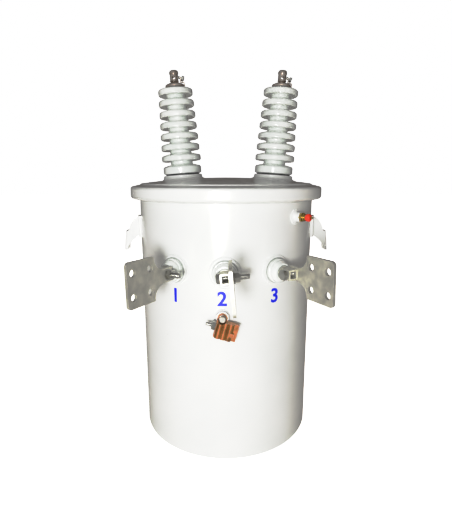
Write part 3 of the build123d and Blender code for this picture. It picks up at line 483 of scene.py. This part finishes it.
def worn_metal_with_edge_highlight(name, dark, light, wear_and_highlight_colour, rough_low, rough_high, streak, scratch_depth, sheen=1.0):
    """A metal with cloudy tarnish, fine scratches along one way, and edges painted bright: partly rubbed
    wear, partly painted highlight.
    """
    made, tree, shader, place = material(name)
    shader.inputs["Metallic"].default_value = sheen
    cloudy = {"Vector": place, "Scale": 1 / tarnish_size, "Detail": 5.0}
    clouds = node(tree, "ShaderNodeTexNoise", links=cloudy)
    tint = node(tree, "ShaderNodeValToRGB", links={"Fac": clouds.outputs["Fac"]})
    tint.color_ramp.elements[0].position = 0.35
    tint.color_ramp.elements[0].color = linear(dark)
    tint.color_ramp.elements[1].position = 0.65
    tint.color_ramp.elements[1].color = linear(light)
    stretched = node(tree, "ShaderNodeMapping", links={"Vector": place, "Scale": streak})
    along_one_way = {"Vector": stretched.outputs[0], "Scale": 1.0, "Detail": 4.0}
    lines = node(tree, "ShaderNodeTexNoise", links=along_one_way)
    # Edges found by the bevel are painted toward the bright colour: partly rubbed wear, partly painted
    # highlight.
    corner = node(tree, "ShaderNodeBevel", {"samples": 4}, {"Radius": wear_and_highlight_edge_width})
    face = tree.nodes.new("ShaderNodeNewGeometry").outputs["Normal"]
    turn = node(tree, "ShaderNodeVectorMath", {"operation": "DOT_PRODUCT"}, {0: corner.outputs[0], 1: face})
    wear_and_highlight_range = {"Value": turn.outputs["Value"], "From Min": 0.995, "From Max": 0.8}
    wear_and_highlight_mask = node(tree, "ShaderNodeMapRange", links=wear_and_highlight_range).outputs["Result"]
    wear_and_highlight_mix = node(tree, "ShaderNodeMix", {"data_type": "RGBA"}, {0: wear_and_highlight_mask, 7: linear(wear_and_highlight_colour)})
    tree.links.new(tint.outputs["Color"], wear_and_highlight_mix.inputs[6])
    tree.links.new(wear_and_highlight_mix.outputs[2], shader.inputs["Base Color"])
    dulled = {"Value": lines.outputs["Fac"], "To Min": rough_low, "To Max": rough_high}
    roughness = node(tree, "ShaderNodeMapRange", links=dulled).outputs["Result"]
    tree.links.new(roughness, shader.inputs["Roughness"])
    scratch = {"Strength": 0.35, "Distance": scratch_depth, "Height": lines.outputs["Fac"]}
    bump = node(tree, "ShaderNodeBump", links=scratch)
    tree.links.new(bump.outputs["Normal"], shader.inputs["Normal"])
    return made


# The third colour of each metal is the colour its edges are painted: partly rubbed wear, partly painted
# highlight.
tin = worn_metal_with_edge_highlight("hot_tinned_copper", "BEBDB3", "D7D6CD", "F5F5F0", 0.34, 0.56, (300, 300, 60), 0.0001, 0.6)
dress(tin, "lv_hub", "lv_spade", "lv_stud")
bronze = worn_metal_with_edge_highlight("tinned_bronze", "A89C92", "DDD3C9", "F8F2EA", 0.22, 0.4, (200, 200, 200), 0.0004, 0.8)
dress(bronze, "hv_terminal", "hv_cap", "hv_clip")

# Fasteners: forged and rolled steel bolts, zinc plated, brighter and harder than the tin beside them.
# Their edges too are painted bright: partly rubbed wear, partly painted highlight.
zinc = worn_metal_with_edge_highlight("zinc_plated_steel", "A9A9A2", "CBCBC6", "F2F2EE", 0.22, 0.4, (400, 400, 400), 0.00005)


def hexagon(flats, height, hole, origin, axis, side_way, both=True):
    """A hexagon head or nut with its corners turned off at 30 degrees, and a hole where it is a nut."""
    bm = bmesh.new()
    up = Vector(axis).normalized()
    right = Vector(side_way)
    right = (right - up * right.dot(up)).normalized()
    ahead = up.cross(right)
    sides = 72
    face_circle = 0.475 * flats
    rows = [[], [], [], [], [], []]
    for i in range(sides):
        turn = 2 * pi * i / sides
        across = (turn + pi / 6) % (pi / 3) - pi / 6
        corner = flats / 2 / cos(across)
        cut = max(0.0, corner - face_circle) * tan(radians(30))
        reach = right * cos(turn) + ahead * sin(turn)
        places = [
            (hole, 0),
            (face_circle if both else corner, 0),
            (corner, cut if both else 0),
            (corner, height - cut),
            (face_circle, height),
            (hole, height),
        ]
        for row, (radius, level) in zip(rows, places):
            row.append(bm.verts.new(Vector(origin) + up * level + reach * radius))
    for lower, upper in zip(rows, rows[1:] + rows[:1]):
        for i in range(sides):
            j = (i + 1) % sides
            bm.faces.new((lower[i], lower[j], upper[j], upper[i]))
    bmesh.ops.remove_doubles(bm, verts=bm.verts, dist=1e-7)
    bmesh.ops.recalc_face_normals(bm, faces=bm.faces)
    return bm


thread_tree = bpy.data.node_groups.new("rolled_thread", "GeometryNodeTree")
input_socket(thread_tree, "Line", "NodeSocketGeometry", None)
thread_radius_id = input_socket(thread_tree, "Root Radius", "NodeSocketFloat", 0.005)
thread_pitch_id = input_socket(thread_tree, "Pitch", "NodeSocketFloat", 0.002)
thread_length_id = input_socket(thread_tree, "Length", "NodeSocketFloat", 0.03)
thread_tree.interface.new_socket("Geometry", in_out="OUTPUT", socket_type="NodeSocketGeometry")
given = thread_tree.nodes.new("NodeGroupInput")
turns = node(thread_tree, "ShaderNodeMath", {"operation": "DIVIDE"}, {
    0: given.outputs["Length"], 1: given.outputs["Pitch"],
})
helix = node(thread_tree, "GeometryNodeCurveSpiral", links={
    "Resolution": 28, "Rotations": turns.outputs[0], "Start Radius": given.outputs["Root Radius"],
    "End Radius": given.outputs["Root Radius"], "Height": given.outputs["Length"],
})
ridge_size = node(thread_tree, "ShaderNodeMath", {"operation": "MULTIPLY"}, {
    0: given.outputs["Pitch"], 1: ridge_share,
})
ridge = node(thread_tree, "GeometryNodeCurvePrimitiveCircle", links={
    "Resolution": 4, "Radius": ridge_size.outputs[0],
})
ridges = node(thread_tree, "GeometryNodeCurveToMesh", links={
    "Curve": helix.outputs["Curve"], "Profile Curve": ridge.outputs["Curve"], "Fill Caps": True,
})
solid = node(thread_tree, "GeometryNodeRealizeInstances", links={"Geometry": ridges.outputs["Mesh"]})
plated = node(thread_tree, "GeometryNodeSetMaterial", links={
    "Geometry": solid.outputs[0], "Material": zinc,
})
result = thread_tree.nodes.new("NodeGroupOutput")
thread_tree.links.new(plated.outputs[0], result.inputs[0])


def threaded(radius, pitch, length, origin, axis):
    """A threaded shank: a core with a chamfered end, and the helical ridge rolled on it."""
    ridge_height = ridge_share * pitch
    root = radius - ridge_height
    core = turned(
        [(0, 0), (root, 0), (root, length - pitch), (root - pitch / 2, length), (0, length)],
        32, origin, axis, (0.3, 0.2, 1),
    )
    settings = {
        thread_radius_id: root, thread_pitch_id: pitch, thread_length_id: length - 2 * pitch,
    }
    mesh = plain_mesh("thread", [(0, 0, 0), (0, 0, length)], thread_tree, settings)
    turn = Vector(axis).to_track_quat("Z", "Y").to_matrix().to_4x4()
    mesh.transform(Matrix.Translation(Vector(origin)) @ turn)
    core.from_mesh(mesh)
    bpy.data.meshes.remove(mesh)
    return core


def joined(*parts):
    """One bmesh from several, which are freed."""
    whole = bmesh.new()
    for part in parts:
        mesh = bpy.data.meshes.new("part")
        part.to_mesh(mesh)
        part.free()
        whole.from_mesh(mesh)
        bpy.data.meshes.remove(mesh)
    return whole


def washer(radius, hole, thickness, origin, axis):
    """A plain washer with slightly rounded edges."""
    ease = thickness * 0.25
    return turned(
        [
            (hole, 0), (radius - ease, 0), (radius, ease), (radius, thickness - ease),
            (radius - ease, thickness), (hole, thickness),
        ],
        64, origin, axis, (0.3, 0.2, 1),
    )


# Spade clamp bolts: half-inch hexagon bolts through hub and spade, each drawn up by a washer and nut.
clamp_radius = 0.006
clamp_pitch = 0.00195
clamp_flats = 0.019
clamp_head = 0.0075
clamp_nut = 0.010
clamp_washer = 0.0125
clamp_washer_thickness = 0.0025
clamp_grip = 0.0265
clamp_thread = 0.031
mounts = {mount["name"]: mount for mount in frame["record"]["mounts"]}
for name in lv_azimuths:
    node_name = f"lv_clamp_bolt_{name}"
    low, high = [Vector(corner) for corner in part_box(node_name)]
    along = Vector(mounts[f"lv_spade_{name}_holes"]["axis"]).normalized()
    length = clamp_head + clamp_grip + clamp_thread
    start = (low + high) / 2 - along * (length / 2)
    washer_start = start + along * (length - clamp_thread)
    nut_start = washer_start + along * clamp_washer_thickness
    up = Vector((0.1, 0.1, 1))
    bolt = joined(
        hexagon(clamp_flats, clamp_head, 0, start + along * clamp_head, -along, up, both=False),
        threaded(clamp_radius, clamp_pitch, length - clamp_head, start + along * clamp_head, along),
        washer(clamp_washer, clamp_radius, clamp_washer_thickness, washer_start, along),
        hexagon(clamp_flats, clamp_nut, clamp_radius * nut_bore_share, nut_start, along, up),
    )
    piece(f"clamp_bolt_{name}", bolt, zinc, "zinc_steel", node_name)

# Eye clamp bolts: small hexagon screws that grip the lead in each high-voltage terminal.
eye_bolt_radius = 0.003
eye_bolt_pitch = 0.001
eye_bolt_flats = 0.010
eye_bolt_head = 0.0055
eye_bolt_slant = 20.0
eye_bolt_root = 0.0075
eye_bolt_seat = 0.018
eye_bolt_rise = 0.0145
cap_top = 0.2112
for name, (way, side) in hv_places.items():
    across = Vector((way.z, 0, -way.x))
    along = across * cos(radians(eye_bolt_slant)) - way * sin(radians(eye_bolt_slant))
    stem_foot = Vector((spacing_middle + side * spacing_half, 0, seat_level))
    origin = stem_foot + way * (cap_top + eye_bolt_rise) + along * eye_bolt_root
    shank = eye_bolt_seat - eye_bolt_root
    bolt = joined(
        threaded(eye_bolt_radius, eye_bolt_pitch, shank, origin, along),
        hexagon(eye_bolt_flats, eye_bolt_head, 0, origin + along * shank, along, (0, 1, 0), both=False),
    )
    piece(f"eye_bolt_{name}", bolt, zinc, "zinc_steel", f"hv_clamp_bolt_{name}")

# Closure bolt: draws the two ears of the clamp band together at the back.
band_bolt_radius = 0.005
band_bolt_pitch = 0.0015
band_bolt_flats = 0.017
band_bolt_head = 0.007
band_bolt_nut = 0.008
ear_outside = 0.019
low, high = [Vector(corner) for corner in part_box("clamp_band_bolt")]
middle = (low + high) / 2
right_way = Vector((1, 0, 0))
left_ear = Vector((-ear_outside, middle.y, middle.z))
right_ear = Vector((ear_outside, middle.y, middle.z))
bolt = joined(
    hexagon(band_bolt_flats, band_bolt_head, 0, left_ear, -right_way, (0, 0, 1), both=False),
    threaded(band_bolt_radius, band_bolt_pitch, high.x + ear_outside, left_ear, right_way),
    hexagon(
        band_bolt_flats, band_bolt_nut, band_bolt_radius * nut_bore_share,
        right_ear, right_way, (0, 0, 1),
    ),
)
piece("closure_bolt", bolt, zinc, "zinc_steel", "clamp_band_bolt")

# Earth bolts: one through the copper connector with its nut on the left, and the screw and washer that
# hold the connector's tang on its pad.
earth_roll = radians(15)
earth_level = 0.309
earth_bolt_row = 0.016
earth_bolt_rise = 0.0038
earth_bolt_radius = 0.004
earth_bolt_pitch = 0.00125
earth_bolt_length = 0.0435
earth_nut_start = 0.031
earth_nut_flats = 0.016
earth_nut_height = 0.008
earth_screw_side = 0.013
earth_screw_rise = 0.021
earth_tang_top = 0.014
earth_screw_flats = 0.013
earth_screw_head = 0.006
earth_washer_radius = 0.008
earth_washer_thickness = 0.0016
outward = Vector((0, -1, 0))
along = Vector((cos(earth_roll), 0, -sin(earth_roll)))
upward = Vector((sin(earth_roll), 0, cos(earth_roll)))
earth_base = Vector((0, -tank_radius, earth_level))
row_start = earth_base + outward * earth_bolt_row + upward * earth_bolt_rise
screw_foot = earth_base - along * earth_screw_side + upward * earth_screw_rise + outward * earth_tang_top
bolt = joined(
    threaded(earth_bolt_radius, earth_bolt_pitch, earth_bolt_length, row_start, -along),
    hexagon(
        earth_nut_flats, earth_nut_height, earth_bolt_radius * nut_bore_share,
        row_start - along * earth_nut_start, along, upward,
    ),
    washer(earth_washer_radius, 0, earth_washer_thickness, screw_foot, outward),
    hexagon(
        earth_screw_flats, earth_screw_head, 0, screw_foot + outward * earth_washer_thickness, outward,
        upward, both=False,
    ),
)
piece("earth_fasteners", bolt, zinc, "zinc_steel", "earth_bolts")

# Relief valve: turned brass body in a welded boss, with a red moulded nylon cap and a brass pull pin.
# The brass's edges are painted pale: partly rubbed wear, partly painted highlight.
brass = worn_metal_with_edge_highlight("machined_brass", "A58B45", "C9AE66", "F0DFA0", 0.2, 0.36, (500, 500, 500), 0.00003)
dress(brass, "relief_valve_body", "relief_valve_pin")
haze_size = 0.004
red, tree, shader, place = material("red_moulded_nylon")
haze = node(tree, "ShaderNodeTexNoise", links={"Vector": place, "Scale": 1 / haze_size, "Detail": 4.0})
tint = node(tree, "ShaderNodeValToRGB", links={"Fac": haze.outputs["Fac"]})
tint.color_ramp.elements[0].color = linear("E02E16")
tint.color_ramp.elements[1].color = linear("F4462A")
tree.links.new(tint.outputs["Color"], shader.inputs["Base Color"])
sheen = {"Value": haze.outputs["Fac"], "To Min": 0.3, "To Max": 0.5}
tree.links.new(node(tree, "ShaderNodeMapRange", links=sheen).outputs["Result"], shader.inputs["Roughness"])
grain = {"Strength": 0.2, "Distance": 0.0001, "Height": haze.outputs["Fac"]}
tree.links.new(node(tree, "ShaderNodeBump", links=grain).outputs["Normal"], shader.inputs["Normal"])
dress(red, "relief_valve_cap")

# Earth connector: a clamp formed from copper, with cloudy tarnish and fine streaks, and its edges painted
# bright: partly rubbed wear, partly painted highlight.
copper = worn_metal_with_edge_highlight("formed_copper", "8A5A34", "BE8450", "F2D2AE", 0.24, 0.46, (90, 500, 90), 0.00012, 0.75)
dress(copper, "earth_connector")

# Phase numbers: plain figures sprayed through a stencil in blue under the three bushings.
figure_height = 0.029
figure_drop = 0.040
figure_lift = 0.0002
film = 0.00012
figure_share = 0.69
stroke_swell = 0.0009
slice_width = 0.002
slices_each_side = 8
spray_size = 0.003
blue, tree, shader, place = material("blue_stencil_paint")
spray = node(tree, "ShaderNodeTexNoise", links={"Vector": place, "Scale": 1 / spray_size, "Detail": 4.0})
tint = node(tree, "ShaderNodeValToRGB", links={"Fac": spray.outputs["Fac"]})
tint.color_ramp.elements[0].color = linear("0010D8")
tint.color_ramp.elements[1].color = linear("0024F0")
tree.links.new(tint.outputs["Color"], shader.inputs["Base Color"])
sheen = {"Value": spray.outputs["Fac"], "To Min": 0.3, "To Max": 0.5}
tree.links.new(node(tree, "ShaderNodeMapRange", links=sheen).outputs["Result"], shader.inputs["Roughness"])
for figure, name, azimuth in (("1", "left", -31.0), ("2", "centre", -2.2), ("3", "right", 29.6)):
    data = bpy.data.curves.new(f"figure_{name}", "FONT")
    data.body = figure
    data.size = figure_height / figure_share
    data.align_x = "CENTER"
    data.offset = stroke_swell
    data.extrude = film / 2
    text = bpy.data.objects.new(f"figure_{name}", data)
    bpy.context.scene.collection.objects.link(text)
    flat = bpy.data.meshes.new_from_object(text.evaluated_get(bpy.context.evaluated_depsgraph_get()))
    bpy.data.objects.remove(text)
    bm = bmesh.new()
    bm.from_mesh(flat)
    bpy.data.meshes.remove(flat)
    for i in range(-slices_each_side, slices_each_side + 1):
        everything = bm.verts[:] + bm.edges[:] + bm.faces[:]
        bmesh.ops.bisect_plane(bm, geom=everything, plane_co=(i * slice_width, 0, 0), plane_no=(1, 0, 0))
    base_level = lv_level - figure_drop - figure_height
    for vert in bm.verts:
        turn = azimuth + vert.co.x / tank_radius * 180 / pi
        vert.co = on_wall(turn, base_level + vert.co.y, figure_lift + vert.co.z)
    bmesh.ops.remove_doubles(bm, verts=bm.verts, dist=1e-7)
    bmesh.ops.recalc_face_normals(bm, faces=bm.faces)
    piece(f"figure_{figure}", bm, blue, "tank_enamel")
